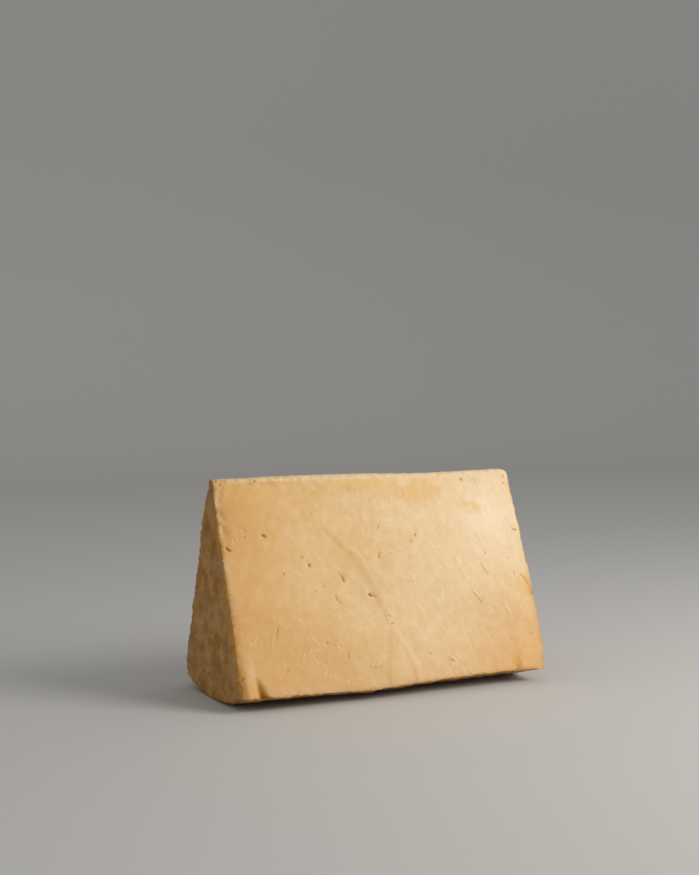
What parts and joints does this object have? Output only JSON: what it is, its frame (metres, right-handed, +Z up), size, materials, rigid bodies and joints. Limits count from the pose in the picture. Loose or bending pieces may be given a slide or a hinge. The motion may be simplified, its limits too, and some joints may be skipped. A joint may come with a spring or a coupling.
{
  "type": "cheddar wedge",
  "caption": "Wedge of cloth-bound cheddar, one sector of a tall wheel, standing on its curved rind with the blunt nose on top.",
  "frame": {"origin": "centre of the box round the wedge, on the surface it stands on", "axes": "+X runs along the axis of the wheel from the left end face to the right one, -Y is the side of the front cut face, +Z is up from the rind to the nose"},
  "size_m": [0.2565, 0.1124, 0.1619],
  "materials": {
    "cheese": "satin, slightly oily cheese paste with a dull brown-grey rind on both ends and underneath"
  },
  "bodies": {
    "root": {"cheddar_wedge": "cheese"}
  },
  "joints": []
}
